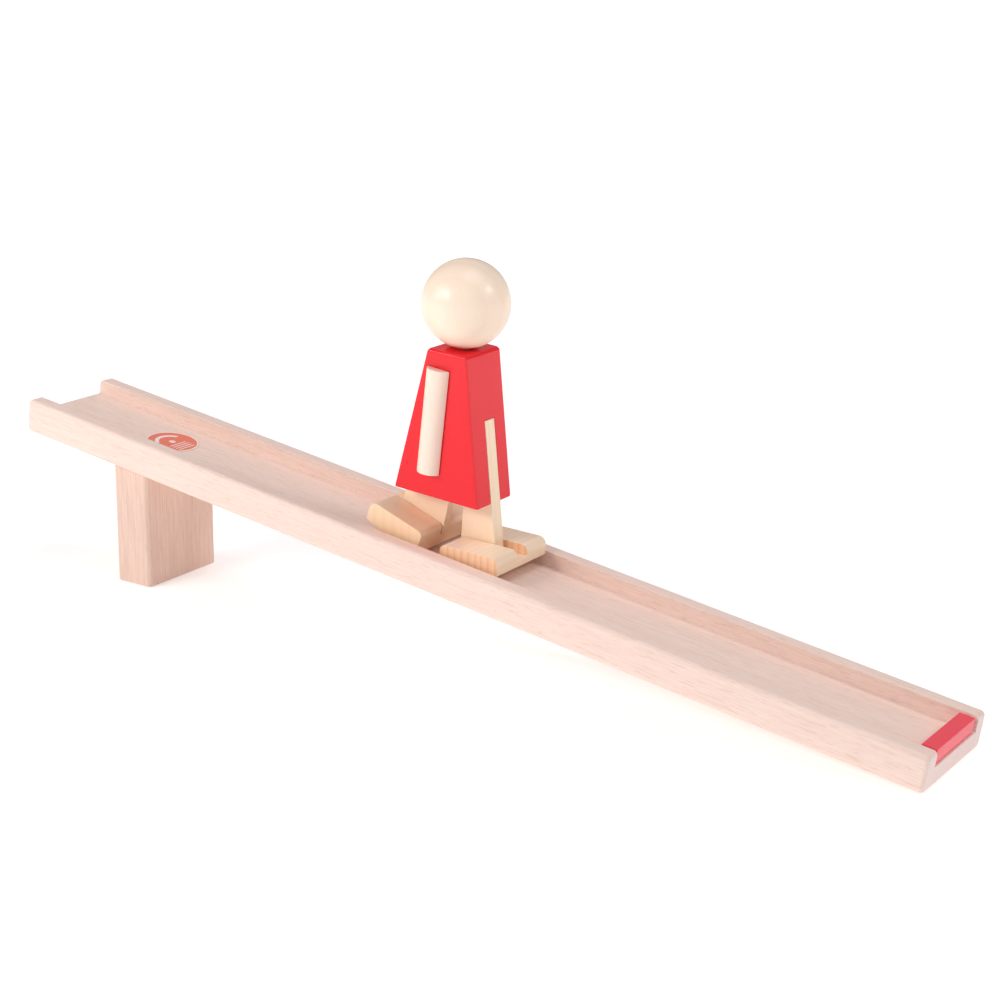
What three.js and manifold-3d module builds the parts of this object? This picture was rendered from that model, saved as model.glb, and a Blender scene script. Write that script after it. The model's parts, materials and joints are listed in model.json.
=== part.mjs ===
// A wooden toddling figure that walks down a sloped channel ramp.
// Millimetres. +X runs downhill, +Y to the figure's left and +Z up. The origin is on the table,
// under the middle of the whole toy.
import * as THREE from "three";
import { mergeVertices } from "three/addons/utils/BufferGeometryUtils.js";
import Module from "manifold-3d";

const wasm = await Module();
wasm.setup();

// ---------------------------------------------------------------- driving dimensions

// Glued or resting faces stay this far apart, and turning or sliding ones keep a running gap.
const glueGap = 0.3;
const runningGap = 0.3;

// The ramp is one milled beech channel: a floor with a rail along each side.
const ramp = {
  length: 490,
  width: 59.4,
  height: 17,
  floor: 9.8,
  rail: 8.4,
  topRound: 1.8,
  innerRound: 0.7,
  bottomRound: 3.2,
};
const channelWidth = ramp.width - 2 * ramp.rail;

// The post stands upright under the upper end, and its height sets the ramp's slope.
const post = { height: 59.8, thickness: 22, inset: 5.05, round: 2.6, fromUpperEnd: 65.3 };
const postWidth = ramp.width - 2 * post.inset;
const postDowel = { radius: 4, inPost: 18, inRamp: 5.5, spacing: 25 };

// A red bar glued across the lower end of the channel stops the figure.
const stop = { sideGap: 1.65, width: 7, round: 0.8, fromLowerEnd: 0.8, aside: -0.6 };
const label = { radius: 13, thickness: 0.2, lift: 0.05, fromUpperEnd: 70.7, aside: -0.8 };

// The figure leans back a little from the ramp, with its torso's foot this far down the ramp.
const figure = { fromUpperEnd: 237, lean: 4.2, legDrop: 18.3, soleGap: 0.45 };
const torso = { base: 45.9, top: 20.5, height: 68.1, topForward: 0.8, width: 27.5, round: 2.2, edge: 1.2 };
const slotHeight = 38;
const head = { radius: 20, seat: 0.5, forward: 0.4 };
const neck = { radius: 4, inTorso: 13, inHead: 12 };
const arm = { length: 48.6, width: 11.8, thickness: 4.5, round: 0.5, back: 3.4, height: 35.8, lean: 2.4 };

// The front leg is glued in the slot. The rear leg hangs behind it on the hip pin.
const frontLeg = { thickness: 7.3, aside: 1.1, rear: 7.9 };
const rearLeg = { thickness: 4.8, aside: -0.1, boss: 9.1, width: 25.4, swing: 8.6, lift: 2.3 };
const hip = { back: 5, height: 24, radius: 2 };

// Each foot is a block whose rounded sole thins away from the leg, with a groove for the leg.
const frontFoot = {
  length: 31.2,
  legEnd: 10.2,
  freeEnd: 8.2,
  sole: 90,
  aside: 0.6,
  tilt: -2.3,
};
const rearFoot = {
  length: 30.4,
  legEnd: 11.4,
  freeEnd: 9.6,
  sole: 90,
  aside: 0.7,
  tilt: 7.6,
};
const footRound = { leg: 2.6, free: 3.8 };
const footWidth = channelWidth - 2.4;
const grooveDepth = 4.9;

// The rear leg is as long as lets its foot swing just clear of the floor.
const legReach = hip.height + figure.legDrop + frontFoot.legEnd;
const rearLegLength = legReach - rearFoot.legEnd - rearLeg.lift;

const radians = THREE.MathUtils.degToRad;
const slope = Math.asin(post.height / (ramp.length - post.fromUpperEnd));
const frontLean = (torso.base / 2 - torso.topForward - torso.top / 2) / torso.height;
const ROUND_SIDES = 28;

// ---------------------------------------------------------------- materials

const beech = new THREE.MeshStandardMaterial({ color: 0xf3dac6, roughness: 0.6, metalness: 0 });
const maple = new THREE.MeshStandardMaterial({ color: 0xf6dfbf, roughness: 0.45, metalness: 0 });
const redLacquer = new THREE.MeshStandardMaterial({ color: 0xe03c46, roughness: 0.35, metalness: 0 });
const sticker = new THREE.MeshStandardMaterial({ color: 0xe2573f, roughness: 0.5, metalness: 0 });
const steel = new THREE.MeshStandardMaterial({ color: 0xb8babd, roughness: 0.3, metalness: 1 });

// ---------------------------------------------------------------- shaping

// A closed geometry as a solid that can be cut.
function solid(geometry) {
  const bare = geometry.clone();
  bare.deleteAttribute("normal");
  bare.deleteAttribute("uv");
  const merged = mergeVertices(bare, 1e-4);
  const vertProperties = merged.attributes.position.array;
  const triVerts = new Uint32Array(merged.index.array);
  return new wasm.Manifold(new wasm.Mesh({ numProp: 3, vertProperties, triVerts }));
}

// The first geometry with all the others cut out of it.
function cut(geometry, ...cutters) {
  const left = cutters.reduce((body, cutter) => body.subtract(solid(cutter)), solid(geometry));
  const { vertProperties, triVerts } = left.getMesh();
  const result = new THREE.BufferGeometry();
  result.setAttribute("position", new THREE.BufferAttribute(vertProperties, 3));
  result.setIndex(new THREE.BufferAttribute(triVerts, 1));
  result.computeVertexNormals();
  return result;
}

function mesh(name, geometry, material) {
  const made = new THREE.Mesh(geometry, material);
  made.name = name;
  return made;
}

// An outline through corners given as [across, up, radius], run anticlockwise.
function roundedOutline(corners) {
  const outline = new THREE.Shape();
  const points = corners.map(([across, up]) => new THREE.Vector2(across, up));
  corners.forEach(([, , radius], i) => {
    const corner = points[i];
    const before = points.at(i - 1).clone().sub(corner).normalize();
    const after = points[(i + 1) % points.length].clone().sub(corner).normalize();
    const halfAngle = Math.acos(before.dot(after)) / 2;
    const reach = radius / Math.tan(halfAngle);
    const start = before.multiplyScalar(reach).add(corner);
    const end = after.multiplyScalar(reach).add(corner);
    if (i === 0) outline.moveTo(start.x, start.y);
    else outline.lineTo(start.x, start.y);
    if (radius > 0) outline.quadraticCurveTo(corner.x, corner.y, end.x, end.y);
  });
  outline.closePath();
  return outline;
}

// An outline drawn in x and z, made as thick in y as asked. A bevel rounds its two flat faces' edges.
function sideways(outline, thickness, middleY = 0, bevel = 0) {
  const geometry = new THREE.ExtrudeGeometry(outline, {
    depth: thickness - 2 * bevel,
    curveSegments: 5,
    bevelEnabled: bevel > 0,
    bevelThickness: bevel,
    bevelSize: bevel,
    bevelOffset: -bevel,
    bevelSegments: 3,
  });
  geometry.rotateX(Math.PI / 2);
  geometry.translate(0, middleY + thickness / 2 - bevel, 0);
  return geometry;
}

// An outline drawn in y and z, run along x from zero.
function lengthways(outline, length) {
  const geometry = new THREE.ExtrudeGeometry(outline, {
    depth: length,
    curveSegments: 4,
    bevelEnabled: false,
  });
  geometry.rotateX(Math.PI / 2);
  geometry.rotateZ(Math.PI / 2);
  return geometry;
}

// An upright peg from one height to another.
function peg(radius, low, high) {
  const geometry = new THREE.CylinderGeometry(radius, radius, high - low, ROUND_SIDES);
  geometry.rotateX(Math.PI / 2);
  geometry.translate(0, 0, (low + high) / 2);
  return geometry;
}

// A pin that lies across the toy.
function crossPin(radius, length) {
  return new THREE.CylinderGeometry(radius, radius, length, ROUND_SIDES);
}

function block(x, y, z) {
  return new THREE.BoxGeometry(x, y, z);
}

// ---------------------------------------------------------------- ramp

// The ramp group's x runs down the ramp's underside from its upper end, and z is square to it.
const rampGroup = new THREE.Group();
rampGroup.rotation.y = slope;
rampGroup.position.z = ramp.length * Math.sin(slope);
rampGroup.updateMatrixWorld(true);

// The dowels stand upright in the post, so they enter the ramp at a slant.
const postX = post.fromUpperEnd * Math.cos(slope);
const dowelPlaces = [
  ["post_dowel_left", postDowel.spacing / 2],
  ["post_dowel_right", -postDowel.spacing / 2],
];

function dowelAt(y, gap) {
  const low = post.height - postDowel.inPost - gap;
  const high = post.height + postDowel.inRamp + gap;
  return peg(postDowel.radius + gap, low, high).translate(postX, y, 0);
}

function rampChannel() {
  const side = ramp.width / 2;
  const inner = side - ramp.rail;
  const section = roundedOutline([
    [-side, 0, ramp.bottomRound],
    [side, 0, ramp.bottomRound],
    [side, ramp.height, ramp.topRound],
    [inner, ramp.height, ramp.innerRound],
    [inner, ramp.floor, 0],
    [-inner, ramp.floor, 0],
    [-inner, ramp.height, ramp.innerRound],
    [-side, ramp.height, ramp.topRound],
  ]);
  const toRamp = rampGroup.matrixWorld.clone().invert();
  const holes = dowelPlaces.map(([, y]) => dowelAt(y, glueGap).applyMatrix4(toRamp));
  return mesh("ramp_channel", cut(lengthways(section, ramp.length), ...holes), beech);
}

// The stop is as tall as the rails, with its edges eased.
function endStop() {
  const height = ramp.height - ramp.floor - glueGap;
  const section = roundedOutline([
    [-stop.width / 2, 0, 0],
    [stop.width / 2, 0, 0],
    [stop.width / 2, height, stop.round],
    [-stop.width / 2, height, stop.round],
  ]);
  const made = mesh("end_stop", sideways(section, channelWidth - 2 * stop.sideGap, 0, stop.round / 2), redLacquer);
  const middle = ramp.length - stop.fromLowerEnd - stop.width / 2;
  made.position.set(middle, stop.aside, ramp.floor + glueGap);
  return made;
}

function roundLabel() {
  const made = mesh("round_label", peg(label.radius, 0, label.thickness), sticker);
  made.position.set(label.fromUpperEnd, label.aside, ramp.floor + label.lift);
  return made;
}

rampGroup.add(rampChannel(), endStop(), roundLabel());

// ---------------------------------------------------------------- post

// The post's upright edges are rounded, and its top is sawn to the ramp's slope.
function supportPost() {
  const x = post.thickness / 2;
  const y = postWidth / 2;
  const section = roundedOutline([
    [-x, -y, post.round],
    [x, -y, post.round],
    [x, y, post.round],
    [-x, y, post.round],
  ]);
  const tall = post.height + post.thickness;
  const upright = new THREE.ExtrudeGeometry(section, {
    depth: tall,
    curveSegments: 5,
    bevelEnabled: false,
  });
  upright.translate(postX, 0, 0);
  const above = block(4 * post.thickness, 2 * postWidth, 2 * post.thickness);
  above.translate(0, 0, post.thickness);
  above.rotateY(slope);
  above.translate(postX, 0, post.height - glueGap / Math.cos(slope));
  const holes = dowelPlaces.map(([, place]) => dowelAt(place, glueGap));
  return mesh("support_post", cut(upright, above, ...holes), beech);
}

const postDowels = dowelPlaces.map(([name, y]) => mesh(name, dowelAt(y, 0), beech));

// ---------------------------------------------------------------- torso, head and arms

// The figure's own group has its origin under the middle of the torso, with z up its axis.
const figureGroup = new THREE.Group();
figureGroup.rotation.y = -radians(figure.lean);

function torsoBlock() {
  const outline = roundedOutline([
    [-torso.base / 2, 0, torso.round],
    [torso.base / 2, 0, torso.round],
    [torso.topForward + torso.top / 2, torso.height, torso.round],
    [torso.topForward - torso.top / 2, torso.height, torso.round],
  ]);
  const slotCut = block(2 * torso.base, frontLeg.thickness + 2 * glueGap, 2 * slotHeight);
  slotCut.translate(0, frontLeg.aside, 0);
  const neckHole = peg(neck.radius + glueGap, torso.height - neck.inTorso - glueGap, torso.height + 1);
  neckHole.translate(head.forward, 0, 0);
  const hipHole = crossPin(hip.radius + glueGap, 2 * torso.width);
  hipHole.translate(-hip.back, 0, hip.height);
  const shaped = sideways(outline, torso.width, 0, torso.edge);
  return mesh("torso", cut(shaped, slotCut, neckHole, hipHole), redLacquer);
}

// The head is a plain ball, spot-faced where it is glued to the torso's top.
const headHeight = torso.height + glueGap - head.seat + head.radius;

function headBall() {
  const ball = new THREE.SphereGeometry(head.radius, 36, 24);
  ball.rotateX(Math.PI / 2);
  const below = block(2 * head.radius, 2 * head.radius, head.radius);
  below.translate(0, 0, head.seat - 1.5 * head.radius);
  const hole = peg(neck.radius + glueGap, -2 * head.radius, neckTop() + glueGap - headHeight);
  const made = mesh("head", cut(ball, below, hole), maple);
  made.position.set(head.forward, 0, headHeight);
  return made;
}

function neckTop() {
  return torso.height + glueGap + neck.inHead;
}

function neckDowel() {
  const made = mesh("neck_dowel", peg(neck.radius, torso.height - neck.inTorso, neckTop()), maple);
  made.position.x = head.forward;
  return made;
}

// Each arm is a half-round strip. Its flat back is glued to the torso's side, over the hip pin's end.
function armStrip(name, side) {
  const halfWidth = arm.width / 2;
  const section = new THREE.Shape();
  const radius = (halfWidth ** 2 + arm.thickness ** 2) / (2 * arm.thickness);
  const spread = Math.asin(halfWidth / radius);
  section.absarc(0, arm.thickness - radius, radius, Math.PI / 2 - spread, Math.PI / 2 + spread, false);
  section.closePath();
  const strip = new THREE.ExtrudeGeometry(section, {
    depth: arm.length - 2 * arm.round,
    curveSegments: 10,
    bevelEnabled: true,
    bevelThickness: arm.round,
    bevelSize: arm.round,
    bevelOffset: -arm.round,
    bevelSegments: 1,
  });
  strip.translate(0, -arm.round, arm.round - arm.length / 2);
  if (side < 0) strip.rotateZ(Math.PI);
  strip.rotateY(radians(arm.lean));
  const made = mesh(name, strip, maple);
  made.position.set(-arm.back, side * (torso.width / 2 + glueGap + arm.round), arm.height);
  return made;
}

// ---------------------------------------------------------------- feet

// A foot's origin is its top edge at the leg. It runs along x, away from the leg.
function footBlock(foot, legThickness, legAside) {
  const middle = new THREE.Vector2(foot.length / 2, -(foot.legEnd + foot.freeEnd) / 2);
  const rise = Math.atan2(foot.legEnd - foot.freeEnd, foot.length);
  const halfChord = foot.length / 2 / Math.cos(rise);
  const centreAbove = Math.sqrt(foot.sole ** 2 - halfChord ** 2);
  const spread = Math.asin(halfChord / foot.sole);
  const centreX = middle.x - centreAbove * Math.sin(rise);
  const centreZ = middle.y + centreAbove * Math.cos(rise);
  const down = rise - Math.PI / 2;
  const outline = new THREE.Shape();
  outline.moveTo(footRound.leg, 0);
  outline.quadraticCurveTo(0, 0, 0, -footRound.leg);
  outline.absarc(centreX, centreZ, foot.sole, down - spread, down + spread, false);
  outline.lineTo(foot.length, -footRound.free);
  outline.quadraticCurveTo(foot.length, 0, foot.length - footRound.free, 0);
  outline.closePath();
  const groove = block(3 * foot.length, legThickness + 2 * glueGap, 2 * grooveDepth);
  groove.translate(0, legAside, 0);
  return cut(sideways(outline, footWidth, foot.aside), groove);
}

// ---------------------------------------------------------------- front leg

// The front leg's face is flush with the torso's sloped front, and its foot points downhill.
const frontFootTop = -figure.legDrop;

function frontLegPlank() {
  const tilt = Math.tan(radians(frontFoot.tilt));
  const top = slotHeight - glueGap;
  const bottom = frontFootTop - grooveDepth + glueGap;
  const faceAt = (z) => torso.base / 2 - z * frontLean;
  const toe = faceAt(bottom);
  const outline = new THREE.Shape();
  outline.moveTo(frontLeg.rear, bottom);
  outline.lineTo(toe, bottom - (toe - frontLeg.rear) * tilt);
  outline.lineTo(faceAt(top), top);
  outline.lineTo(frontLeg.rear, top);
  outline.closePath();
  return mesh("front_leg", sideways(outline, frontLeg.thickness, frontLeg.aside), maple);
}

function frontFootBlock() {
  const shaped = footBlock(frontFoot, frontLeg.thickness, frontLeg.aside);
  const made = mesh("front_foot", shaped, maple);
  made.position.set(frontLeg.rear, 0, frontFootTop);
  made.rotation.y = radians(frontFoot.tilt);
  return made;
}

// ---------------------------------------------------------------- rear leg

// The rear leg's group turns about the hip pin. Its z axis is square to the leg's straight front edge.
const rearLegGroup = new THREE.Group();
rearLegGroup.position.set(-hip.back, 0, hip.height);
rearLegGroup.rotation.y = radians(rearLeg.swing);

function rearLegPlank() {
  const tilt = Math.tan(radians(rearFoot.tilt));
  const bottom = -rearLegLength - grooveDepth + glueGap;
  const rearX = rearLeg.boss - rearLeg.width;
  const rearZ = bottom + rearLeg.width * tilt;
  const tangent = Math.atan2(rearZ, rearX) - Math.acos(rearLeg.boss / Math.hypot(rearX, rearZ));
  const outline = new THREE.Shape();
  outline.moveTo(rearX, rearZ);
  outline.lineTo(rearLeg.boss, bottom);
  outline.lineTo(rearLeg.boss, 0);
  outline.absarc(0, 0, rearLeg.boss, 0, tangent + 2 * Math.PI, false);
  outline.closePath();
  const bore = crossPin(hip.radius + runningGap, 3 * rearLeg.thickness);
  const plank = sideways(outline, rearLeg.thickness, rearLeg.aside);
  return mesh("rear_leg", cut(plank, bore), maple);
}

// The rear foot is turned end for end, so that its thin end points uphill.
function rearFootBlock() {
  const turned = { ...rearFoot, aside: -rearFoot.aside };
  const shaped = footBlock(turned, rearLeg.thickness, -rearLeg.aside);
  shaped.rotateZ(Math.PI);
  const made = mesh("rear_foot", shaped, maple);
  made.position.set(rearLeg.boss, 0, -rearLegLength);
  made.rotation.y = radians(rearFoot.tilt);
  return made;
}

function hipPin() {
  const made = mesh("hip_pin", crossPin(hip.radius, torso.width - 2 * glueGap), steel);
  made.position.set(-hip.back, 0, hip.height);
  return made;
}

// ---------------------------------------------------------------- assembly

const frontFootMesh = frontFootBlock();
rearLegGroup.add(rearLegPlank(), rearFootBlock());
figureGroup.add(
  torsoBlock(),
  headBall(),
  neckDowel(),
  armStrip("left_arm", 1),
  armStrip("right_arm", -1),
  frontLegPlank(),
  frontFootMesh,
  hipPin(),
  rearLegGroup,
);

// The figure stands with the front foot's sole just above the channel's floor, clear of the label.
figureGroup.position.x = figure.fromUpperEnd;
figureGroup.position.z = ramp.floor + figure.soleGap - soleBottom(figureGroup, frontFootMesh);
rampGroup.add(figureGroup);

// The lowest point of a foot, measured square to the ramp.
function soleBottom(group, foot) {
  group.updateMatrixWorld(true);
  return new THREE.Box3().setFromObject(foot, true).min.z;
}

const toy = new THREE.Group();
toy.add(rampGroup, supportPost(), ...postDowels);
const extent = new THREE.Box3().setFromObject(toy, true);
const middle = extent.getCenter(new THREE.Vector3());
toy.position.set(-middle.x, -middle.y, -extent.min.z);

const part = new THREE.Group();
part.add(toy);

export default part;
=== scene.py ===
"""The looks of a wooden figure that toddles down a sloped ramp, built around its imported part."""

import json
import math

import bmesh
import bpy
from mathutils import Matrix, Quaternion, Vector


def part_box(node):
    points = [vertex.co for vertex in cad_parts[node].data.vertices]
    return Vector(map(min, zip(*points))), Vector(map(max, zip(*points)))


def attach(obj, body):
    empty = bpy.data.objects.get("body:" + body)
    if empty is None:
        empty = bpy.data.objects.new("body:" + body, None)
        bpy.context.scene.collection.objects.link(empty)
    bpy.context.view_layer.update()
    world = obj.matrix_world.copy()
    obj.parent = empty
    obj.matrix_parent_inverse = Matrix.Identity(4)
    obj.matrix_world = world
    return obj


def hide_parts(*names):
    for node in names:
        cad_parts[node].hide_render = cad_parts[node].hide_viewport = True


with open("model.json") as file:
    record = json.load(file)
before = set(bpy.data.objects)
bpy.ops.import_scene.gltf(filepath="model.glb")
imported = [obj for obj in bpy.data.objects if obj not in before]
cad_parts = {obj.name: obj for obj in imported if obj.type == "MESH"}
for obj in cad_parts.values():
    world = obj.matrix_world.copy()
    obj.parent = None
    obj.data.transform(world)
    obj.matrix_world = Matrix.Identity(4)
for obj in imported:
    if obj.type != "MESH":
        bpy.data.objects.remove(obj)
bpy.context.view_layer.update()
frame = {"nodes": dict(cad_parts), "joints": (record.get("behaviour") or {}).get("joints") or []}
scene = bpy.context.scene

# ---- Viewpoint
# A short telephoto seen from beyond the lower end, a little above the table.
view_yaw = math.radians(33.418)
view_pitch = math.radians(17.053)
view_roll = math.radians(0.902)
view_ahead = Vector(
    (
        -math.sin(view_yaw) * math.cos(view_pitch),
        math.cos(view_yaw) * math.cos(view_pitch),
        -math.sin(view_pitch),
    )
)
view_turn = view_ahead.to_track_quat("-Z", "Y") @ Quaternion((0, 0, 1), view_roll)
camera = bpy.data.objects.new("camera", bpy.data.cameras.new("camera"))
camera.location = (0.52114, -0.75641, 0.35201)
camera.rotation_euler = view_turn.to_euler()
camera.data.lens = 76.42
camera.data.sensor_width = 36
camera.data.clip_start = 0.01
scene.collection.objects.link(camera)
scene.camera = camera

# ---- Table and studio
# A white matt sheet with a cool soft surround. Two warm softboxes stand to the left of the view, a
# wide one and a small one. A weaker one stands to the right and a cool one hangs overhead.
TABLE_REACH, TABLE_GAP = 60, 0.0004
LIGHT_DISTANCE, TOY_MIDDLE = 1.35, 0.1


def linear(colour):
    """A six-figure sRGB hex colour as the linear RGBA that shaders take."""
    channels = [int(colour[i : i + 2], 16) / 255 for i in (0, 2, 4)]
    return [c / 12.92 if c <= 0.04045 else ((c + 0.055) / 1.055) ** 2.4 for c in channels] + [1]


def add_node(tree, kind, inputs=None, **settings):
    """A new shader node. An input takes a value, or another node's output socket to link."""
    node = tree.nodes.new("ShaderNode" + kind)
    for name, value in settings.items():
        setattr(node, name, value)
    for name, value in (inputs or {}).items():
        if isinstance(value, bpy.types.NodeSocket):
            tree.links.new(value, node.inputs[name])
        else:
            node.inputs[name].default_value = value
    return node


def new_material(name):
    """An empty material. Returns it with its node tree."""
    material = bpy.data.materials.new(name)
    material.use_nodes = True
    material.node_tree.nodes.clear()
    return material, material.node_tree


def finish_material(tree, shader):
    add_node(tree, "OutputMaterial", {"Surface": shader.outputs[0]})


# Matt white paper without gloss. It glows more away from the toy, so it stays white far off.
paper, tree = new_material("matt_white_paper")
paper_place = add_node(tree, "TexCoord").outputs["Object"]
from_toy = add_node(tree, "VectorMath", {0: paper_place}, operation="LENGTH")
glow = add_node(
    tree,
    "MapRange",
    {
        "Value": from_toy.outputs["Value"],
        "From Min": 0.35,
        "From Max": 1.1,
        "To Min": 0.34,
        "To Max": 0.85,
    },
)
paper_surface = add_node(
    tree,
    "BsdfPrincipled",
    {
        "Base Color": linear("f9f9f9"),
        "Roughness": 0.9,
        "Specular IOR Level": 0.1,
        "Emission Color": (1, 1, 1, 1),
        "Emission Strength": glow.outputs[0],
    },
)
finish_material(tree, paper_surface)

sheet = bmesh.new()
bmesh.ops.create_grid(sheet, x_segments=1, y_segments=1, size=TABLE_REACH)
bmesh.ops.translate(sheet, vec=(0, 0, -TABLE_GAP), verts=sheet.verts)
table_mesh = bpy.data.meshes.new("table")
sheet.to_mesh(table_mesh)
sheet.free()
table_mesh.materials.append(paper)
table = bpy.data.objects.new("table", table_mesh)
scene.collection.objects.link(table)

world = bpy.data.worlds.new("studio")
world.use_nodes = True
world.node_tree.nodes["Background"].inputs["Color"].default_value = (0.93, 0.965, 1.0, 1)
world.node_tree.nodes["Background"].inputs["Strength"].default_value = 0.36
scene.world = world

STUDIO_LIGHTS = [
    ("wide_left_softbox", (-0.62, -0.66, 0.46), 4.4, 0.55, (1.0, 0.975, 0.95)),
    ("small_left_softbox", (-0.324, -0.816, 0.474), 4.8, 0.3, (1.0, 0.975, 0.95)),
    ("right_softbox", (0.756, 0.250, 0.56), 3.4, 0.3, (1.0, 0.96, 0.94)),
    ("overhead_softbox", (0.24, 0.06, 0.97), 4.3, 0.8, (0.95, 0.975, 1.0)),
]
for light_name, towards, watts, across, tint in STUDIO_LIGHTS:
    softbox = bpy.data.lights.new(light_name, "AREA")
    softbox.energy = watts
    softbox.size = across
    softbox.color = tint
    stand = bpy.data.objects.new(light_name, softbox)
    stand.location = Vector(towards) * LIGHT_DISTANCE + Vector((0, 0, TOY_MIDDLE))
    stand.rotation_euler = Vector(towards).to_track_quat("Z", "Y").to_euler()
    scene.collection.objects.link(stand)

scene.view_settings.view_transform = "Standard"

# ---- Ramp channel
# One long piece of pale beech, planed and sanded, with a flat-bottomed channel milled along it.
# The long edges are rounded with a cutter. It is unvarnished, so it has almost no gloss.
RAMP_LENGTH, RAMP_WIDTH, RAMP_HEIGHT = 490, 59.4, 17
CHANNEL_FLOOR, RAIL_THICKNESS = 9.8, 8.4
BOTTOM_ROUND, TOP_ROUND, END_ROUND = 3.2, 2.2, 2.0

slide = next(joint for joint in frame["joints"] if joint["name"] == "walker_slide")
slope = math.atan2(-slide["axis"][2], slide["axis"][0])
upper_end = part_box("ramp_channel")[0].x
upper_height = RAMP_LENGTH / 1000 * math.sin(slope)

# Millimetres along, across and square to the ramp's underside, as metres in the toy's frame.
ramp_place = (
    Matrix.Translation((upper_end, 0, upper_height))
    @ Matrix.Rotation(slope, 4, "Y")
    @ Matrix.Scale(0.001, 4)
)


def bare_beech(name, turn, pale, dark, fibre, end_grain):
    """Unvarnished beech whose grain runs along X once the pattern is turned by the angles given."""
    material, tree = new_material(name)
    place = add_node(tree, "TexCoord").outputs["Object"]

    # Broad bands of growth, tens of millimetres wide and much longer than any piece.
    broad = add_node(
        tree,
        "Mapping",
        {"Vector": place, "Rotation": turn, "Scale": (0.22, 0.009, 0.009)},
        vector_type="TEXTURE",
    )
    bands = add_node(tree, "TexNoise", {"Vector": broad.outputs[0], "Scale": 1, "Detail": 2})

    # Fibres 0.8 mm wide and about 25 mm long, a little wavy.
    along = add_node(
        tree,
        "Mapping",
        {"Vector": place, "Rotation": turn, "Scale": (0.025, 0.0008, 0.0008)},
        vector_type="TEXTURE",
    )
    fibres = add_node(
        tree,
        "TexNoise",
        {"Vector": along.outputs[0], "Scale": 1, "Detail": 3, "Roughness": 0.6, "Distortion": 0.35},
    )

    # Beech's ray flecks are dashes of a few millimetres. Real ones are 0.2 mm wide, and these are
    # drawn at 0.5 mm so that they show.
    short = add_node(
        tree,
        "Mapping",
        {"Vector": place, "Rotation": turn, "Scale": (0.006, 0.0005, 0.0005)},
        vector_type="TEXTURE",
    )
    dashes = add_node(tree, "TexNoise", {"Vector": short.outputs[0], "Scale": 1, "Detail": 1})
    flecks = add_node(
        tree,
        "MapRange",
        {"Value": dashes.outputs["Fac"], "From Min": 0.57, "From Max": 0.74, "To Max": 0.26},
    )

    band_colour = add_node(
        tree,
        "Mix",
        {0: bands.outputs["Fac"], 6: linear(pale), 7: linear(dark)},
        data_type="RGBA",
    )
    fibre_share = add_node(
        tree,
        "MapRange",
        {"Value": fibres.outputs["Fac"], "From Min": 0.4, "From Max": 0.72, "To Max": 0.42},
    )
    fibre_colour = add_node(
        tree,
        "Mix",
        {0: fibre_share.outputs[0], 6: band_colour.outputs[2], 7: linear(fibre)},
        data_type="RGBA",
    )
    long_colour = add_node(
        tree,
        "Mix",
        {0: flecks.outputs[0], 6: fibre_colour.outputs[2], 7: linear("b98a76")},
        data_type="RGBA",
    )

    # Where a saw has cut across the grain the wood is greyer.
    facing = add_node(
        tree,
        "Mapping",
        {"Vector": add_node(tree, "TexCoord").outputs["Normal"], "Rotation": turn},
        vector_type="TEXTURE",
    )
    lengthwise = add_node(tree, "SeparateXYZ", {"Vector": facing.outputs[0]})
    cut_across = add_node(tree, "Math", {0: lengthwise.outputs["X"]}, operation="ABSOLUTE")
    end_share = add_node(
        tree,
        "MapRange",
        {"Value": cut_across.outputs[0], "From Min": 0.6, "From Max": 0.95, "To Max": 0.8},
    )
    colour = add_node(
        tree,
        "Mix",
        {0: end_share.outputs[0], 6: long_colour.outputs[2], 7: linear(end_grain)},
        data_type="RGBA",
    )
    raised = add_node(
        tree,
        "Bump",
        {"Height": fibres.outputs["Fac"], "Strength": 0.25, "Distance": 0.0001},
    )
    shader = add_node(
        tree,
        "BsdfPrincipled",
        {
            "Base Color": colour.outputs[2],
            "Roughness": 0.58,
            "IOR": 1.45,
            "Specular IOR Level": 0.4,
            "Normal": raised.outputs[0],
        },
    )
    finish_material(tree, shader)
    return material


ramp_beech = bare_beech(
    "sanded_beech_along_the_ramp", (0, slope, 0), "f9e0d4", "f2d6ca", "e5c1b0", "efd9d4"
)


def edges_at(shape, test):
    """The edges whose two ends both pass a test of their place."""
    return [edge for edge in shape.edges if all(test(end.co) for end in edge.verts)]


def round_over(shape, edges, radius, steps=4, clamp=True):
    """Rounds some edges to a radius, as a cutter or sandpaper does."""
    bmesh.ops.bevel(
        shape,
        geom=edges,
        offset=radius,
        segments=steps,
        profile=0.5,
        affect="EDGES",
        material=-1,
        clamp_overlap=clamp,
    )


def ease(shape, radius, sharper_than=38):
    """Takes the sharpness off every edge that still turns by more than some degrees."""
    limit = math.radians(sharper_than)
    sharp = [edge for edge in shape.edges if edge.is_manifold and edge.calc_face_angle() > limit]
    round_over(shape, sharp, radius, 2)


def place_piece(name, shape, place, material, body):
    """Puts a shape in millimetres in its place as a finished piece that stands for the CAD node."""
    bmesh.ops.remove_doubles(shape, verts=shape.verts, dist=0.001)
    bmesh.ops.transform(shape, matrix=place, verts=shape.verts)
    bmesh.ops.recalc_face_normals(shape, faces=shape.faces)
    mesh = bpy.data.meshes.new(name)
    shape.to_mesh(mesh)
    shape.free()
    mesh.materials.append(material)
    mesh.shade_smooth()
    mesh.set_sharp_from_angle(angle=math.radians(35))
    piece = bpy.data.objects.new(name, mesh)
    scene.collection.objects.link(piece)
    flats = piece.modifiers.new("flat faces stay flat", "WEIGHTED_NORMAL")
    flats.keep_sharp = True
    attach(piece, body)
    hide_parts(name.replace("_piece", ""))
    return piece


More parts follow.
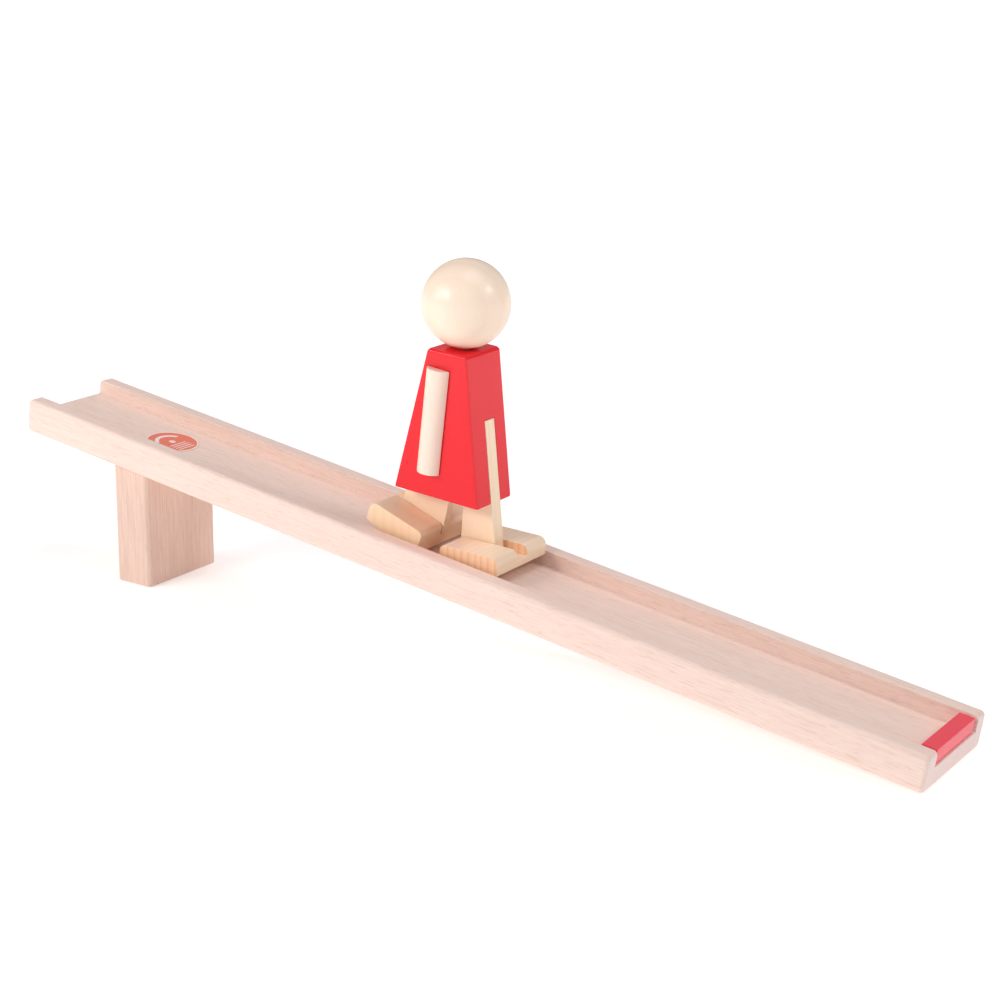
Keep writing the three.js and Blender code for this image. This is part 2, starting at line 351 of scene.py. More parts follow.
def carved(shape, cutter):
    """The shape with a closed cutter taken out of it. Both are used up."""
    made = []
    for source in (shape, cutter):
        mesh = bpy.data.meshes.new("offcut")
        source.to_mesh(mesh)
        source.free()
        made.append(bpy.data.objects.new("offcut", mesh))
        scene.collection.objects.link(made[-1])
    cut = made[0].modifiers.new("cut", "BOOLEAN")
    cut.operation = "DIFFERENCE"
    cut.solver = "EXACT"
    cut.object = made[1]
    evaluated = made[0].evaluated_get(bpy.context.evaluated_depsgraph_get())
    left = bmesh.new()
    left.from_mesh(evaluated.to_mesh())
    evaluated.to_mesh_clear()
    for piece in made:
        bpy.data.meshes.remove(piece.data)
    return left


channel_width = RAMP_WIDTH - 2 * RAIL_THICKNESS
channel = bmesh.new()
bmesh.ops.create_cube(channel, size=1)
bmesh.ops.translate(channel, vec=(0.5, 0, 0.5), verts=channel.verts)
bmesh.ops.scale(channel, vec=(RAMP_LENGTH, RAMP_WIDTH, RAMP_HEIGHT), verts=channel.verts)
for side in (-1, 1):
    low_edge = edges_at(channel, lambda co: co.z < 0.01 and co.y * side > 1)
    round_over(channel, low_edge, BOTTOM_ROUND, 6)
    high_edge = edges_at(channel, lambda co: co.z > RAMP_HEIGHT - 0.01 and co.y * side > 1)
    round_over(channel, high_edge, TOP_ROUND, 5)
for end_x in (0, RAMP_LENGTH):
    end_edges = edges_at(channel, lambda co: abs(co.x - end_x) < 0.01)
    round_over(channel, end_edges, END_ROUND, 4, clamp=False)
mill = bmesh.new()
bmesh.ops.create_cube(mill, size=1)
bmesh.ops.translate(mill, vec=(0, 0, 0.5), verts=mill.verts)
bmesh.ops.scale(mill, vec=(3 * RAMP_LENGTH, channel_width, RAMP_HEIGHT), verts=mill.verts)
bmesh.ops.translate(mill, vec=(0, 0, CHANNEL_FLOOR), verts=mill.verts)
mill_corners = [edge for edge in mill.edges if edge.calc_length() > RAMP_LENGTH]
mill_corners = [edge for edge in mill_corners if edge.verts[0].co.z < RAMP_HEIGHT]
round_over(mill, mill_corners, 0.5, 2)
channel = carved(channel, mill)
ease(channel, 0.45, 60)
place_piece("ramp_channel_piece", channel, ramp_place, ramp_beech, "ramp")

# ---- Support post
# A short beech block that stands upright under the upper end. Its upright edges are rounded and
# its top is sawn to the ramp's slope, where two dowels and glue hold it.
post_low, post_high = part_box("support_post")
post_size = (post_high - post_low) * 1000
post_middle = (post_high + post_low) / 2
GLUE_GAP = 0.3

# The post's beech is painted darker and browner than the ramp's: painted shade for the ramp's
# shadow over the post.
post_beech_painted_shade = bare_beech(
    "sanded_beech_upright_painted_shade", (0, math.pi / 2, 0), "efd0c0", "e4c4b5", "c79c89", "dfc6bc"
)


def saw_off(shape, at, facing):
    """Takes off the part of a solid beyond a plane, and closes the solid there."""
    sawn_face = bmesh.ops.bisect_plane(
        shape,
        geom=shape.verts[:] + shape.edges[:] + shape.faces[:],
        plane_co=at,
        plane_no=facing,
        clear_outer=True,
    )
    rim = [item for item in sawn_face["geom_cut"] if isinstance(item, bmesh.types.BMEdge)]
    bmesh.ops.holes_fill(shape, edges=rim, sides=0)


def finish_cad_piece(node, material):
    """Gives a material to a piece that can't be seen and keeps its CAD shape."""
    mesh = frame["nodes"][node].data
    mesh.materials.clear()
    mesh.materials.append(material)


post = bmesh.new()
bmesh.ops.create_cube(post, size=1)
bmesh.ops.translate(post, vec=(0, 0, 0.5), verts=post.verts)
bmesh.ops.scale(post, vec=(post_size.x, post_size.y, post_size.z), verts=post.verts)
upright = [edge for edge in post.edges if abs(edge.verts[0].co.z - edge.verts[1].co.z) > 1]
round_over(post, upright, 2.6, 6)
post_top = (upper_height - (post_middle.x - upper_end) * math.tan(slope)) * 1000
saw_off(
    post,
    (0, 0, post_top - GLUE_GAP / math.cos(slope)),
    (math.sin(slope), 0, math.cos(slope)),
)
ease(post, 0.4, 60)
post_place = Matrix.Translation((post_middle.x, 0, 0)) @ Matrix.Scale(0.001, 4)
place_piece("support_post_piece", post, post_place, post_beech_painted_shade, "ramp")
for hidden_dowel in ("post_dowel_left", "post_dowel_right"):
    finish_cad_piece(hidden_dowel, post_beech_painted_shade)

# ---- End stop
# A small square bar, sprayed with red lacquer and glued across the channel just inside its lower
# end. It is as tall as the rails and shorter than the channel is wide.
STOP_LENGTH, STOP_WIDTH = 39.3, 7
STOP_INSET, STOP_ASIDE = 0.8, -0.6


def red_lacquer(name, turn, coat, thin_coat, ridge):
    """Thin satin lacquer sprayed on wood. The grain shows through it as faint ridges."""
    material, tree = new_material(name)
    place = add_node(tree, "TexCoord").outputs["Object"]

    # Ridges 0.6 mm apart follow the wood's grain under the paint.
    along = add_node(
        tree,
        "Mapping",
        {"Vector": place, "Rotation": turn, "Scale": (0.016, 0.0006, 0.0006)},
        vector_type="TEXTURE",
    )
    grain = add_node(
        tree, "TexNoise", {"Vector": along.outputs[0], "Scale": 1, "Detail": 3, "Roughness": 0.6}
    )
    # The coat is a little thicker in some places than in others, over 20 mm or so.
    wide = add_node(
        tree, "Mapping", {"Vector": place, "Scale": (0.02, 0.02, 0.02)}, vector_type="TEXTURE"
    )
    thick = add_node(tree, "TexNoise", {"Vector": wide.outputs[0], "Scale": 1, "Detail": 2})
    grain_share = add_node(
        tree,
        "MapRange",
        {"Value": grain.outputs["Fac"], "From Min": 0.3, "From Max": 0.75, "To Max": 0.45},
    )
    coat_colour = add_node(
        tree,
        "Mix",
        {0: thick.outputs["Fac"], 6: linear(coat), 7: linear(thin_coat)},
        data_type="RGBA",
    )
    colour = add_node(
        tree,
        "Mix",
        {0: grain_share.outputs[0], 6: coat_colour.outputs[2], 7: linear(ridge)},
        data_type="RGBA",
    )
    rough = add_node(
        tree,
        "MapRange",
        {
            "Value": grain.outputs["Fac"],
            "From Min": 0.3,
            "From Max": 0.7,
            "To Min": 0.3,
            "To Max": 0.4,
        },
    )
    raised = add_node(
        tree, "Bump", {"Height": grain.outputs["Fac"], "Strength": 0.12, "Distance": 0.0001}
    )
    shader = add_node(
        tree,
        "BsdfPrincipled",
        {
            "Base Color": colour.outputs[2],
            "Roughness": rough.outputs[0],
            "IOR": 1.5,
            "Specular IOR Level": 0.0,
            "Coat Weight": 0.75,
            "Coat Roughness": 0.1,
            "Normal": raised.outputs[0],
        },
    )
    finish_material(tree, shader)
    return material


# The stop's red is painted paler and pinker than the torso's: painted sheen and painted light for
# the white glare on the bright lower end.
stop_lacquer_painted_sheen = red_lacquer(
    "red_lacquer_on_stop_painted_sheen", (0, 0, math.pi / 2), "fb5563", "f64e5c", "f04a58"
)
stop_height = RAMP_HEIGHT - CHANNEL_FLOOR - 0.02
stop = bmesh.new()
bmesh.ops.create_cube(stop, size=1)
bmesh.ops.scale(stop, vec=(STOP_WIDTH, STOP_LENGTH, stop_height), verts=stop.verts)
ease(stop, 0.35)
stop_place = ramp_place @ Matrix.Translation(
    (RAMP_LENGTH - STOP_INSET - STOP_WIDTH / 2, STOP_ASIDE, RAMP_HEIGHT - stop_height / 2)
)
place_piece("end_stop_piece", stop, stop_place, stop_lacquer_painted_sheen, "ramp")

# ---- Round label
# A 26 mm printed paper sticker in orange-red on the channel's floor, near the upper end. It carries
# no words: only a pale rim and dot, an arc and four plain bars.
LABEL_RADIUS, LABEL_THICKNESS, LABEL_LIFT = 13, 0.2, 0.15
LABEL_ALONG, LABEL_ASIDE = 70.7, -0.8
RIM_WIDTH, ARC_RADIUS, ARC_HALF_WIDTH, ARC_START = 0.8, 7.6, 1.0, 3.0
BAR_PITCH, BARS_MIDDLE, BARS_HALF_SPAN, BARS_HALF_LENGTH = 1.9, 6.65, 3.8, 5.6

sticker_print, tree = new_material("printed_paper_sticker")
sticker_place = add_node(tree, "TexCoord").outputs["Object"]
sticker_middle = ramp_place @ Vector((LABEL_ALONG, LABEL_ASIDE, CHANNEL_FLOOR))
sticker_frame = add_node(
    tree,
    "Mapping",
    {
        "Vector": sticker_place,
        "Location": tuple(sticker_middle),
        "Rotation": (0, slope, 0),
        "Scale": (0.001, 0.001, 0.001),
    },
    vector_type="TEXTURE",
)
from_middle = add_node(tree, "VectorMath", {0: sticker_frame.outputs[0]}, operation="LENGTH")
dot = add_node(
    tree,
    "MapRange",
    {
        "Value": from_middle.outputs["Value"],
        "From Min": 1.5,
        "From Max": 1.8,
        "To Min": 1,
        "To Max": 0,
    },
)
# Four plain bars across the lower half, 0.7 mm wide and 1.9 mm apart.
downhill = add_node(tree, "SeparateXYZ", {"Vector": sticker_frame.outputs[0]})
bar_wave = add_node(
    tree, "Math", {0: downhill.outputs["X"], 1: 2 * math.pi / BAR_PITCH}, operation="MULTIPLY"
)
bar_height = add_node(tree, "Math", {0: bar_wave.outputs[0]}, operation="COSINE")
bars = add_node(
    tree, "MapRange", {"Value": bar_height.outputs[0], "From Min": 0.25, "From Max": 0.65}
)
bars_middle = add_node(
    tree, "Math", {0: downhill.outputs["X"], 1: BARS_MIDDLE}, operation="SUBTRACT"
)
bars_out = add_node(tree, "Math", {0: bars_middle.outputs[0]}, operation="ABSOLUTE")
bars_near = add_node(
    tree, "Math", {0: bars_out.outputs[0], 1: BARS_HALF_SPAN}, operation="LESS_THAN"
)
bars_side = add_node(tree, "Math", {0: downhill.outputs["Y"]}, operation="ABSOLUTE")
bars_short = add_node(
    tree, "Math", {0: bars_side.outputs[0], 1: BARS_HALF_LENGTH}, operation="LESS_THAN"
)
bars_window = add_node(
    tree, "Math", {0: bars_near.outputs[0], 1: bars_short.outputs[0]}, operation="MULTIPLY"
)
bars_shown = add_node(
    tree, "Math", {0: bars.outputs[0], 1: bars_window.outputs[0]}, operation="MULTIPLY"
)
# A pale rim 0.8 mm wide, and a plain pale arc on the uphill side.
rim = add_node(
    tree,
    "Math",
    {0: from_middle.outputs["Value"], 1: LABEL_RADIUS - RIM_WIDTH},
    operation="GREATER_THAN",
)
arc_middle = add_node(
    tree, "Math", {0: from_middle.outputs["Value"], 1: ARC_RADIUS}, operation="SUBTRACT"
)
arc_out = add_node(tree, "Math", {0: arc_middle.outputs[0]}, operation="ABSOLUTE")
arc_ring = add_node(
    tree, "Math", {0: arc_out.outputs[0], 1: ARC_HALF_WIDTH}, operation="LESS_THAN"
)
uphill = add_node(tree, "Math", {0: downhill.outputs["X"], 1: -ARC_START}, operation="LESS_THAN")
arc = add_node(
    tree, "Math", {0: arc_ring.outputs[0], 1: uphill.outputs[0]}, operation="MULTIPLY"
)
lines = add_node(
    tree, "Math", {0: bars_shown.outputs[0], 1: arc.outputs[0]}, operation="MAXIMUM"
)
rim_and_dot = add_node(
    tree, "Math", {0: rim.outputs[0], 1: dot.outputs[0]}, operation="MAXIMUM"
)
pale_print = add_node(
    tree, "Math", {0: lines.outputs[0], 1: rim_and_dot.outputs[0]}, operation="MAXIMUM"
)
# The ink is a little uneven at the scale of paper fibres, about 0.4 mm.
ink = add_node(tree, "TexNoise", {"Vector": sticker_place, "Scale": 2500, "Detail": 2})
ink_colour = add_node(
    tree,
    "Mix",
    {0: ink.outputs["Fac"], 6: linear("f2836d"), 7: linear("ee7a62")},
    data_type="RGBA",
)
sticker_colour = add_node(
    tree,
    "Mix",
    {0: pale_print.outputs[0], 6: ink_colour.outputs[2], 7: linear("fae6df")},
    data_type="RGBA",
)
sticker_shader = add_node(
    tree,
    "BsdfPrincipled",
    {"Base Color": sticker_colour.outputs[2], "Roughness": 0.5, "IOR": 1.45},
)
finish_material(tree, sticker_shader)

sticker = bmesh.new()
bmesh.ops.create_cone(
    sticker,
    cap_ends=True,
    segments=96,
    radius1=LABEL_RADIUS,
    radius2=LABEL_RADIUS,
    depth=LABEL_THICKNESS,
)
ease(sticker, 0.06)
sticker_at = ramp_place @ Matrix.Translation(
    (LABEL_ALONG, LABEL_ASIDE, CHANNEL_FLOOR + LABEL_LIFT)
)
place_piece("round_label_piece", sticker, sticker_at, sticker_print, "ramp")

# ---- Torso
# A red lacquered block, wide at the bottom and narrow at the shoulders, with a slot sawn up its
# middle for the legs. Its outer edges are rounded more than the slot's.
TORSO_BASE, TORSO_TOP, TORSO_HEIGHT, TORSO_WIDTH = 45.9, 20.5, 68.1, 27.5
TORSO_FORWARD = 0.8
SLOT_HEIGHT, SLOT_WIDTH, SLOT_ASIDE = 38, 7.9, 1.1
FIGURE_LEAN = 4.2
PIN_HOLE_RADIUS, DOWEL_HOLE_RADIUS = 2.3, 4.3
TORSO_DOWEL_HOLE, HEAD_DOWEL_HOLE = 13.3, 12.3
HEAD_FORWARD = 0.4

swing = next(joint for joint in frame["joints"] if joint["name"] == "rear_leg_swing")
hip = Vector(swing["pos_m"])
HIP_BACK, HIP_HEIGHT = 5, 24

# Millimetres from the middle of the torso's foot, with Z up the leaning figure.
figure_tilt = slope - math.radians(FIGURE_LEAN)
figure_place = (
    Matrix.Translation(hip)
    @ Matrix.Rotation(figure_tilt, 4, "Y")
    @ Matrix.Scale(0.001, 4)
    @ Matrix.Translation((HIP_BACK, 0, -HIP_HEIGHT))
)


def thicken(shape, faces, by):
    """Draws flat faces out into a solid, along a vector and as thick as it is long."""
    swept = bmesh.ops.extrude_face_region(shape, geom=faces)
    moved = [item for item in swept["geom"] if isinstance(item, bmesh.types.BMVert)]
    bmesh.ops.translate(shape, vec=by, verts=moved)
    bmesh.ops.recalc_face_normals(shape, faces=shape.faces)


def sawn(corners, thickness, middle=0):
    """A board sawn to corners given as (x, z), as thick along Y as asked about its middle."""
    board = bmesh.new()
    edge = [board.verts.new((x, middle - thickness / 2, z)) for x, z in corners]
    thicken(board, [board.faces.new(edge)], (0, thickness, 0))
    return board


def groove_cutter(length, width, depth, aside):
    """A long box that cuts a groove along X, as deep as asked on either side of the height 0."""
    cutter = bmesh.new()
    bmesh.ops.create_cube(cutter, size=1)
    bmesh.ops.scale(cutter, vec=(length, width, 2 * depth), verts=cutter.verts)
    bmesh.ops.translate(cutter, vec=(0, aside, 0), verts=cutter.verts)
    return cutter


def drill_bit(radius, depth, middle, sideways=False):
    """A round cutter about its middle, upright or lying across the toy."""
    bit = bmesh.new()
    bmesh.ops.create_cone(
        bit, cap_ends=True, segments=40, radius1=radius, radius2=radius, depth=depth
    )
    if sideways:
        quarter_turn = Matrix.Rotation(math.pi / 2, 3, "X")
        bmesh.ops.rotate(bit, cent=(0, 0, 0), matrix=quarter_turn, verts=bit.verts)
    bmesh.ops.translate(bit, vec=middle, verts=bit.verts)
    return bit


torso_lacquer = red_lacquer(
    "red_lacquer_on_torso", (0, figure_tilt, 0), "f31a28", "ec1724", "dd1520"
)
torso_corners = [
    (-TORSO_BASE / 2, 0),
    (TORSO_BASE / 2, 0),
    (TORSO_FORWARD + TORSO_TOP / 2, TORSO_HEIGHT),
    (TORSO_FORWARD - TORSO_TOP / 2, TORSO_HEIGHT),
]
torso = sawn(torso_corners, TORSO_WIDTH)
top_edges = edges_at(torso, lambda co: co.z > TORSO_HEIGHT - 0.01)
round_over(torso, top_edges, 1.5, 5)
ease(torso, 1.1)
torso = carved(torso, groove_cutter(80, SLOT_WIDTH, SLOT_HEIGHT, SLOT_ASIDE))
torso = carved(torso, drill_bit(PIN_HOLE_RADIUS, 60, (-HIP_BACK, 0, HIP_HEIGHT), sideways=True))
neck_hole = drill_bit(DOWEL_HOLE_RADIUS, 2 * TORSO_DOWEL_HOLE, (HEAD_FORWARD, 0, TORSO_HEIGHT))
torso = carved(torso, neck_hole)
place_piece("torso_piece", torso, figure_place, torso_lacquer, "walker")

# ---- Head and neck dowel
# A plain 40 mm maple ball, turned, sanded and clear-varnished. A small flat is cut where it is
# glued to the torso, over a dowel that can't be seen.
HEAD_RADIUS, HEAD_FLAT_DEPTH = 20, 0.5
HEAD_HEIGHT = TORSO_HEIGHT + GLUE_GAP - HEAD_FLAT_DEPTH + HEAD_RADIUS


def varnished_maple(name, turn, pale, warm, ring_gap, ring_share, end_share=0.0):
    """Maple under clear varnish. The grain runs along X once turned, with growth lines across Y."""
    material, tree = new_material(name)
    place = add_node(tree, "TexCoord").outputs["Object"]

    # Growth lines are thin, a shade darker, and a few millimetres apart. A wave of scale 0.3142 has
    # one line in each unit.
    across = add_node(
        tree,
        "Mapping",
        {"Vector": place, "Rotation": turn, "Scale": (ring_gap * 14, ring_gap, ring_gap * 5)},
        vector_type="TEXTURE",
    )
    rings = add_node(
        tree,
        "TexWave",
        {
            "Vector": across.outputs[0],
            "Scale": 0.3142,
            "Distortion": 5,
            "Detail": 3,
            "Detail Scale": 0.6,
        },
        bands_direction="Y",
        wave_profile="SAW",
    )
    ring_lines = add_node(
        tree,
        "MapRange",
        {"Value": rings.outputs["Fac"], "From Min": 0.35, "From Max": 1.0, "To Max": ring_share},
        interpolation_type="SMOOTHSTEP",
    )
    # Fibres 0.5 mm wide and about 18 mm long.
    along = add_node(
        tree,
        "Mapping",
        {"Vector": place, "Rotation": turn, "Scale": (0.018, 0.0005, 0.0005)},
        vector_type="TEXTURE",
    )
    fibres = add_node(
        tree, "TexNoise", {"Vector": along.outputs[0], "Scale": 1, "Detail": 3, "Roughness": 0.55}
    )
    fibre_share = add_node(
        tree,
        "MapRange",
        {"Value": fibres.outputs["Fac"], "From Min": 0.35, "From Max": 0.75, "To Max": 0.18},
    )
    # Clouds of warmer and paler wood about 15 mm across.
    wide = add_node(
        tree,
        "Mapping",
        {"Vector": place, "Rotation": turn, "Scale": (0.03, 0.014, 0.014)},
        vector_type="TEXTURE",
    )
    clouds = add_node(tree, "TexNoise", {"Vector": wide.outputs[0], "Scale": 1, "Detail": 2})
    cloud_colour = add_node(
        tree,
        "Mix",
        {0: clouds.outputs["Fac"], 6: linear(pale), 7: linear(warm)},
        data_type="RGBA",
    )
    # Where it is cut across the grain, maple drinks more varnish: it is more orange, and its
    # growth lines show three times as much.
    facing = add_node(
        tree,
        "Mapping",
        {"Vector": add_node(tree, "TexCoord").outputs["Normal"], "Rotation": turn},
        vector_type="TEXTURE",
    )
    lengthwise = add_node(tree, "SeparateXYZ", {"Vector": facing.outputs[0]})
    cut_across = add_node(tree, "Math", {0: lengthwise.outputs["X"]}, operation="ABSOLUTE")
    soaked = add_node(
        tree,
        "MapRange",
        {"Value": cut_across.outputs[0], "From Min": 0.6, "From Max": 0.98, "To Max": end_share},
    )
    wood_colour = add_node(
        tree,
        "Mix",
        {0: soaked.outputs[0], 6: cloud_colour.outputs[2], 7: linear("f9bd8c")},
        data_type="RGBA",
    )
    line_share = add_node(
        tree,
        "MapRange",
        {"Value": cut_across.outputs[0], "From Min": 0.6, "From Max": 0.98, "To Min": 0.3},
    )
    shown_lines = add_node(
        tree, "Math", {0: ring_lines.outputs[0], 1: line_share.outputs[0]}, operation="MULTIPLY"
    )
    ring_colour = add_node(
        tree,
        "Mix",
        {0: shown_lines.outputs[0], 6: wood_colour.outputs[2], 7: linear("d3905c")},
        data_type="RGBA",
    )
    colour = add_node(
        tree,
        "Mix",
        {0: fibre_share.outputs[0], 6: ring_colour.outputs[2], 7: linear("efc59c")},
        data_type="RGBA",
    )
    raised = add_node(
        tree, "Bump", {"Height": fibres.outputs["Fac"], "Strength": 0.1, "Distance": 0.0001}
    )
    shader = add_node(
        tree,
        "BsdfPrincipled",
        {
            "Base Color": colour.outputs[2],
            "Roughness": 0.42,
            "IOR": 1.48,
            "Coat Weight": 0.35,
            "Coat Roughness": 0.22,
            "Normal": raised.outputs[0],
        },
    )
    finish_material(tree, shader)
    return material


head_maple = varnished_maple(
    "varnished_maple_head", (0, math.radians(80), 0.3), "fae6d3", "f8dec6", 0.007, 0.14
)
head = bmesh.new()
bmesh.ops.create_uvsphere(head, u_segments=96, v_segments=64, radius=HEAD_RADIUS)
head_flat = (0, 0, HEAD_FLAT_DEPTH - HEAD_RADIUS)
saw_off(head, head_flat, (0, 0, -1))
head = carved(head, drill_bit(DOWEL_HOLE_RADIUS, 2 * HEAD_DOWEL_HOLE, head_flat))
head_place = figure_place @ Matrix.Translation((HEAD_FORWARD, 0, HEAD_HEIGHT))
place_piece("head_piece", head, head_place, head_maple, "walker")
finish_cad_piece("neck_dowel", head_maple)

# ---- Arms
# Two short half-round maple strips with square-cut ends. Each is glued flat to a side of the torso
# and hides an end of the hip pin.
ARM_LENGTH, ARM_WIDTH, ARM_THICKNESS = 48.6, 11.8, 4.5
ARM_BACK, ARM_HEIGHT, ARM_LEAN = 3.4, 35.8, 2.4

arm_maple = varnished_maple(
    "varnished_maple_arms",
    (0, figure_tilt + math.radians(ARM_LEAN - 90), 0),
    "fae6d6",
    "f7dccb",
    0.004,
    0.16,
)


def turn_round(shape):
    """Turns a shape end for end about the upright line through its origin."""
    half_turn = Matrix.Rotation(math.pi, 3, "Z")
    bmesh.ops.rotate(shape, cent=(0, 0, 0), matrix=half_turn, verts=shape.verts)


arm_curve = ((ARM_WIDTH / 2) ** 2 + ARM_THICKNESS**2) / (2 * ARM_THICKNESS)
for arm_name, side in (("left_arm_piece", 1), ("right_arm_piece", -1)):
    arm = bmesh.new()
    bmesh.ops.create_circle(arm, cap_ends=True, segments=96, radius=arm_curve)
    bmesh.ops.translate(arm, vec=(0, ARM_THICKNESS - arm_curve, 0), verts=arm.verts)
    bmesh.ops.bisect_plane(
        arm,
        geom=arm.verts[:] + arm.edges[:] + arm.faces[:],
        plane_co=(0, 0, 0),
        plane_no=(0, -1, 0),
        clear_outer=True,
    )
    thicken(arm, arm.faces[:], (0, 0, ARM_LENGTH))
    bmesh.ops.translate(arm, vec=(0, 0, -ARM_LENGTH / 2), verts=arm.verts)
    ease(arm, 0.4)
    if side < 0:
        turn_round(arm)
    arm_place = (
        figure_place
        @ Matrix.Translation((-ARM_BACK, side * (TORSO_WIDTH / 2 + GLUE_GAP), ARM_HEIGHT))
        @ Matrix.Rotation(math.radians(ARM_LEAN), 4, "Y")
    )
    place_piece(arm_name, arm, arm_place, arm_maple, "walker")

# ---- Feet
# Two varnished maple blocks whose soles are slightly rounded, so the figure can rock. Each has a
# groove along its top for a leg, and its top end edges are rounded. The grain runs across them.
FOOT_WIDTH, GROOVE_DEPTH, SOLE_RADIUS = 40.2, 4.9, 90
LEG_END_ROUND, FREE_END_ROUND = 2.6, 3.8


def foot_block(length, leg_end, free_end, leg_thickness, leg_aside, aside):
    """A foot that runs along X from its top edge at the leg to its thinner free end."""
    rise = math.atan2(leg_end - free_end, length)
    half_chord = length / 2 / math.cos(rise)
    reach = math.sqrt(SOLE_RADIUS**2 - half_chord**2)
    centre_x = length / 2 - reach * math.sin(rise)
    centre_z = -(leg_end + free_end) / 2 + reach * math.cos(rise)
    foot = bmesh.new()
    heel = foot.verts.new((0, aside - FOOT_WIDTH / 2, -leg_end))
    bmesh.ops.spin(
        foot,
        geom=[heel],
        cent=(centre_x, 0, centre_z),
        axis=(0, -1, 0),
        angle=2 * math.asin(half_chord / SOLE_RADIUS),
        steps=14,
    )
    edge = foot.verts[:]
    edge += [foot.verts.new((x, aside - FOOT_WIDTH / 2, 0)) for x in (length, 0)]
    thicken(foot, [foot.faces.new(edge)], (0, FOOT_WIDTH, 0))
    leg_edge = edges_at(foot, lambda co: co.z > -0.01 and co.x < 0.01)
    round_over(foot, leg_edge, LEG_END_ROUND, 6)
    free_edge = edges_at(foot, lambda co: co.z > -0.01 and co.x > length - 0.01)
    round_over(foot, free_edge, FREE_END_ROUND, 7)
    groove_width = leg_thickness + 2 * GLUE_GAP
    foot = carved(foot, groove_cutter(3 * length, groove_width, GROOVE_DEPTH, leg_aside))
    ease(foot, 0.45)
    return foot


FRONT_LEG_THICKNESS, FRONT_LEG_REAR, LEG_DROP = 7.3, 7.9, 18.3
REAR_LEG_THICKNESS, REAR_LEG_ASIDE, REAR_LEG_LENGTH, REAR_LEG_WIDTH = 4.8, -0.1, 38.8, 25.4
BOSS_RADIUS, REAR_LEG_SWING = 9.1, 8.6
FRONT_FOOT_TILT, REAR_FOOT_TILT = -2.3, 7.6

front_foot_maple = varnished_maple(
    "varnished_maple_front_foot", (0, 0, math.radians(90)), "ffe9d1", "fee0c0", 0.0036, 0.34, 0.7
)
front_foot = foot_block(
    length=31.2,
    leg_end=10.2,
    free_end=8.2,
    leg_thickness=FRONT_LEG_THICKNESS,
    leg_aside=SLOT_ASIDE,
    aside=0.6,
)
front_foot_place = (
    figure_place
    @ Matrix.Translation((FRONT_LEG_REAR, 0, -LEG_DROP))
    @ Matrix.Rotation(math.radians(FRONT_FOOT_TILT), 4, "Y")
)
place_piece("front_foot_piece", front_foot, front_foot_place, front_foot_maple, "walker")

rear_foot_maple = varnished_maple(
    "varnished_maple_rear_foot", (0, 0, math.radians(90)), "ffe7cb", "fcd9b0", 0.005, 0.12, 0.3
)
rear_leg_place = (
    figure_place
    @ Matrix.Translation((-HIP_BACK, 0, HIP_HEIGHT))
    @ Matrix.Rotation(math.radians(REAR_LEG_SWING), 4, "Y")
)
rear_foot = foot_block(
    length=30.4,
    leg_end=11.4,
    free_end=9.6,
    leg_thickness=REAR_LEG_THICKNESS,
    leg_aside=-REAR_LEG_ASIDE,
    aside=-0.7,
)
turn_round(rear_foot)
rear_foot_place = (
    rear_leg_place
    @ Matrix.Translation((BOSS_RADIUS, 0, -REAR_LEG_LENGTH))
    @ Matrix.Rotation(math.radians(REAR_FOOT_TILT), 4, "Y")
)
place_piece("rear_foot_piece", rear_foot, rear_foot_place, rear_foot_maple, "rear_leg")

# ---- Legs and hip pin
# Two maple planks. The front one is glued in the torso's slot, flush with its sloping front. The
# rear one is thinner, with a rounded top, and hangs on a steel pin so that it swings by itself.
front_maple = varnished_maple(
    "varnished_maple_front_leg",
    (0, figure_tilt + math.radians(90), 0),
    "ffeacf",
    "fee0bd",
    0.0045,
    0.3,
)
front_slant = (TORSO_BASE / 2 - TORSO_FORWARD - TORSO_TOP / 2) / TORSO_HEIGHT
leg_top = SLOT_HEIGHT - GLUE_GAP
leg_foot = -LEG_DROP - GROOVE_DEPTH + GLUE_GAP
leg_toe = TORSO_BASE / 2 - leg_foot * front_slant
toe_rise = (leg_toe - FRONT_LEG_REAR) * math.tan(math.radians(FRONT_FOOT_TILT))
front_leg = sawn(
    [
        (FRONT_LEG_REAR, leg_foot),
        (leg_toe, leg_foot - toe_rise),
        (TORSO_BASE / 2 - leg_top * front_slant, leg_top),
        (FRONT_LEG_REAR, leg_top),
    ],
    FRONT_LEG_THICKNESS,
    SLOT_ASIDE,
)
ease(front_leg, 0.25)
place_piece("front_leg_piece", front_leg, figure_place, front_maple, "walker")

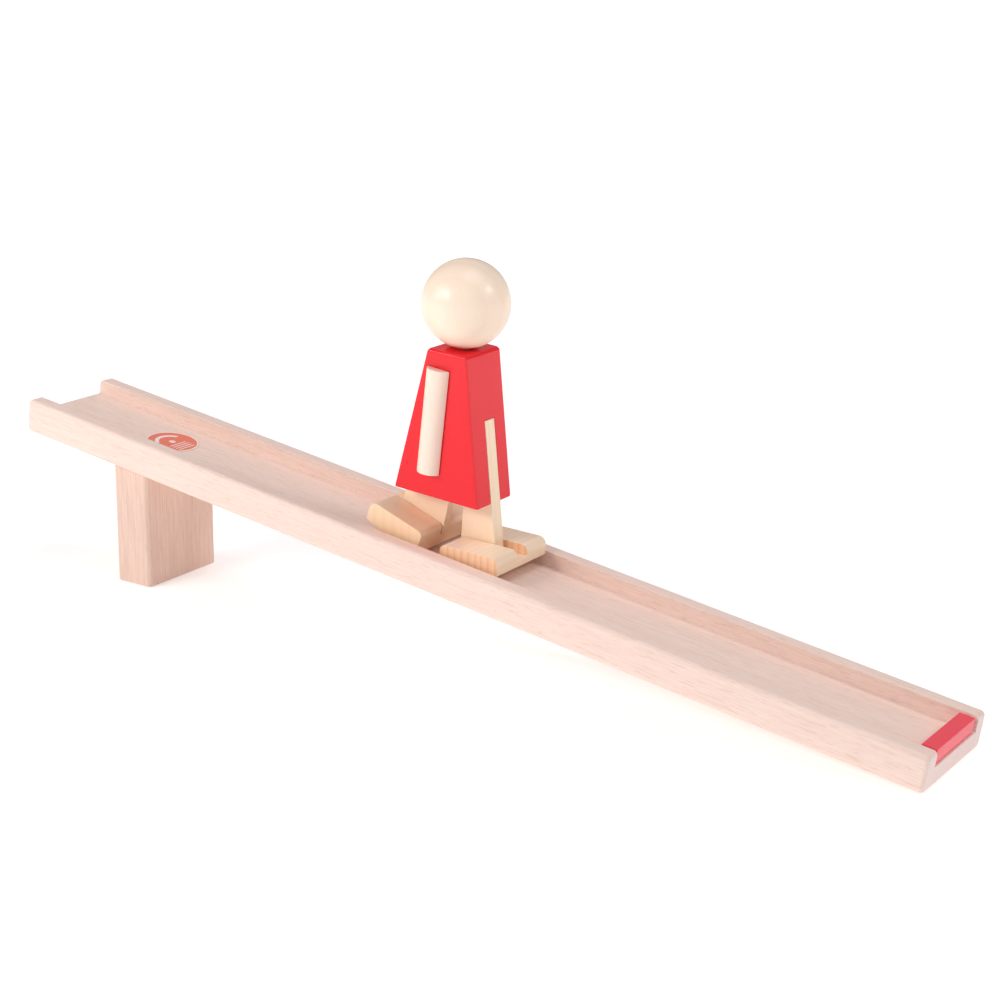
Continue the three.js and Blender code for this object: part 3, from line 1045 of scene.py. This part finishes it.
rear_maple = varnished_maple(
    "varnished_maple_rear_leg",
    (0, figure_tilt + math.radians(REAR_LEG_SWING + 90), 0),
    "ffeacf",
    "fee0bd",
    0.0045,
    0.3,
)
ankle_z = -REAR_LEG_LENGTH - GROOVE_DEPTH + GLUE_GAP
rear_x = BOSS_RADIUS - REAR_LEG_WIDTH
rear_z = ankle_z + REAR_LEG_WIDTH * math.tan(math.radians(REAR_FOOT_TILT))
tangent = math.atan2(rear_z, rear_x) - math.acos(BOSS_RADIUS / math.hypot(rear_x, rear_z))
leg_side = REAR_LEG_ASIDE - REAR_LEG_THICKNESS / 2
rear_leg = bmesh.new()
boss_edge = rear_leg.verts.new((BOSS_RADIUS, leg_side, 0))
bmesh.ops.spin(
    rear_leg,
    geom=[boss_edge],
    cent=(0, 0, 0),
    axis=(0, -1, 0),
    angle=tangent + 2 * math.pi,
    steps=28,
)
leg_edge = rear_leg.verts[:]
for x, z in ((rear_x, rear_z), (BOSS_RADIUS, ankle_z)):
    leg_edge.append(rear_leg.verts.new((x, leg_side, z)))
thicken(rear_leg, [rear_leg.faces.new(leg_edge)], (0, REAR_LEG_THICKNESS, 0))
rear_leg = carved(rear_leg, drill_bit(PIN_HOLE_RADIUS, 20, (0, 0, 0), sideways=True))
ease(rear_leg, 0.25)
place_piece("rear_leg_piece", rear_leg, rear_leg_place, rear_maple, "rear_leg")

# Drawn steel wire, cut to length: bright, with faint lines round it from the die.
pin_steel, tree = new_material("drawn_steel_pin")
pin_place = add_node(tree, "TexCoord").outputs["Object"]
pin_lines = add_node(
    tree, "Mapping", {"Vector": pin_place, "Scale": (0.0004, 0.02, 0.0004)}, vector_type="TEXTURE"
)
draw_marks = add_node(tree, "TexNoise", {"Vector": pin_lines.outputs[0], "Scale": 1, "Detail": 2})
pin_rough = add_node(
    tree, "MapRange", {"Value": draw_marks.outputs["Fac"], "To Min": 0.25, "To Max": 0.45}
)
pin_shader = add_node(
    tree,
    "BsdfPrincipled",
    {"Base Color": linear("b9babd"), "Metallic": 1, "Roughness": pin_rough.outputs[0]},
)
finish_material(tree, pin_shader)
finish_cad_piece("hip_pin", pin_steel)
